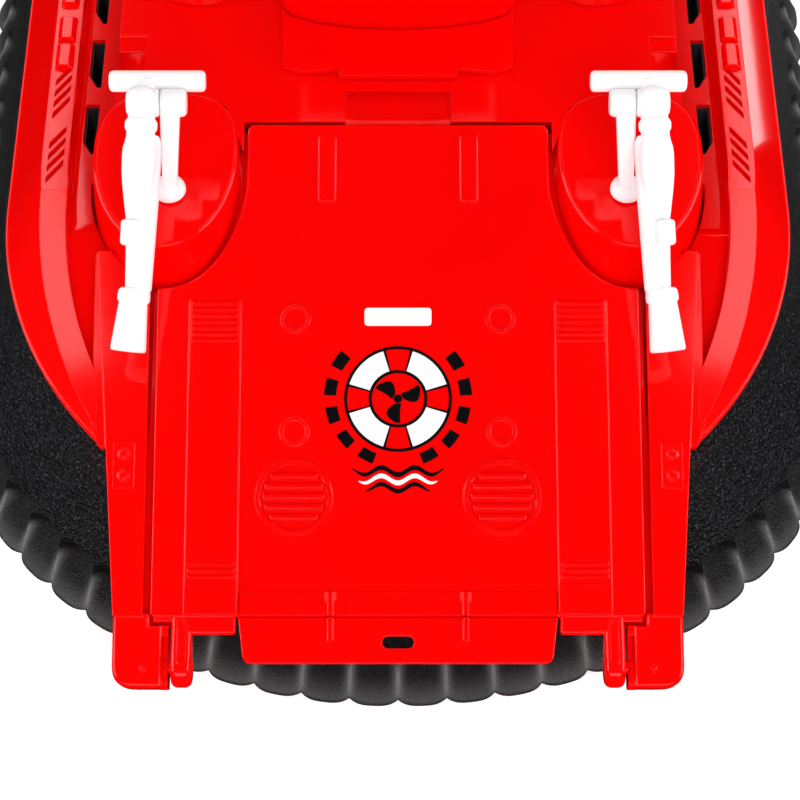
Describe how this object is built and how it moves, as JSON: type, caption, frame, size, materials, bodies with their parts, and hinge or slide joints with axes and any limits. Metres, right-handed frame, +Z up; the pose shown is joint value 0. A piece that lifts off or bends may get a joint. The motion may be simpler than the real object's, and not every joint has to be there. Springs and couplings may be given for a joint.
{
  "type": "toy rescue hovercraft",
  "caption": "Toy rescue hovercraft in red moulded plastic with a fluted black skirt, a bow ramp on ears, white water monitors, a deckhouse and ducted propellers aft.",
  "frame": {"origin": "on the floor under the middle of the craft's length and width", "axes": "+Y aft along the craft's length, with the bow towards -Y, +X across to the side on the right of a viewer ahead of the bow, +Z up"},
  "size_m": [0.2498, 0.4132, 0.172],
  "materials": {
    "red_plastic": "glossy moulded",
    "white_plastic": "satin moulded",
    "black_skirt": "grained, semi-matt",
    "black_plastic": "plain moulded",
    "dark_glazing": "glossy dark"
  },
  "bodies": {
    "hull": {"skirt": "black_skirt", "bottom_pan": "black_plastic", "hull_shell": "red_plastic", "hold_tub": "red_plastic", "pedestal_left": "red_plastic", "pedestal_right": "red_plastic", "cheek_left": "red_plastic", "cheek_right": "red_plastic", "front_panel": "red_plastic", "deckhouse": "red_plastic", "bridge": "red_plastic", "bridge_glazing": "dark_glazing", "bridge_roof": "white_plastic", "mast": "white_plastic", "intake_front_left": "red_plastic", "intake_rear_left": "red_plastic", "intake_front_right": "red_plastic", "intake_rear_right": "red_plastic", "duct_left": "red_plastic", "duct_middle": "red_plastic", "duct_right": "red_plastic", "rudders_left": "red_plastic", "rudders_middle": "red_plastic", "rudders_right": "red_plastic", "searchlight_left": "white_plastic", "searchlight_right": "white_plastic"},
    "ramp": {"ramp": "red_plastic", "ramp_lip": "red_plastic"},
    "turret_left": {"monitor_turret_left": "white_plastic"},
    "turret_right": {"monitor_turret_right": "white_plastic"},
    "barrel_left": {"monitor_barrel_left": "white_plastic"},
    "barrel_right": {"monitor_barrel_right": "white_plastic"},
    "propeller_left": {"propeller_left": "white_plastic"},
    "propeller_middle": {"propeller_middle": "white_plastic"},
    "propeller_right": {"propeller_right": "white_plastic"},
    "radar": {"radar": "white_plastic"}
  },
  "joints": [
    {"name": "ramp_hinge", "type": "hinge", "parent": "hull", "child": "ramp", "pos_m": [0, -0.2005, 0.025], "axis": [1, 0, 0], "range_deg": [0, 168]},
    {"name": "swivel_left", "type": "hinge", "parent": "hull", "child": "turret_left", "pos_m": [0.0579, -0.0917, 0.0755], "axis": [0, 0, 1], "range_deg": [-45, 45]},
    {"name": "swivel_right", "type": "hinge", "parent": "hull", "child": "turret_right", "pos_m": [-0.0579, -0.0917, 0.0755], "axis": [0, 0, -1], "range_deg": [-45, 45]},
    {"name": "elevate_left", "type": "hinge", "parent": "turret_left", "child": "barrel_left", "pos_m": [0.0636, -0.082, 0.0985], "axis": [-1, 0, 0], "range_deg": [0, 60]},
    {"name": "elevate_right", "type": "hinge", "parent": "turret_right", "child": "barrel_right", "pos_m": [-0.0636, -0.082, 0.0985], "axis": [-1, 0, 0], "range_deg": [0, 60]},
    {"name": "spin_left", "type": "hinge", "parent": "hull", "child": "propeller_left", "pos_m": [0.069, 0.1605, 0.115], "axis": [0, 1, 0], "continuous": true},
    {"name": "spin_middle", "type": "hinge", "parent": "hull", "child": "propeller_middle", "pos_m": [0, 0.1605, 0.115], "axis": [0, 1, 0], "continuous": true},
    {"name": "spin_right", "type": "hinge", "parent": "hull", "child": "propeller_right", "pos_m": [-0.069, 0.1605, 0.115], "axis": [0, 1, 0], "continuous": true},
    {"name": "radar_turn", "type": "hinge", "parent": "hull", "child": "radar", "pos_m": [0, 0.012, 0.172], "axis": [0, 0, 1], "continuous": true}
  ]
}
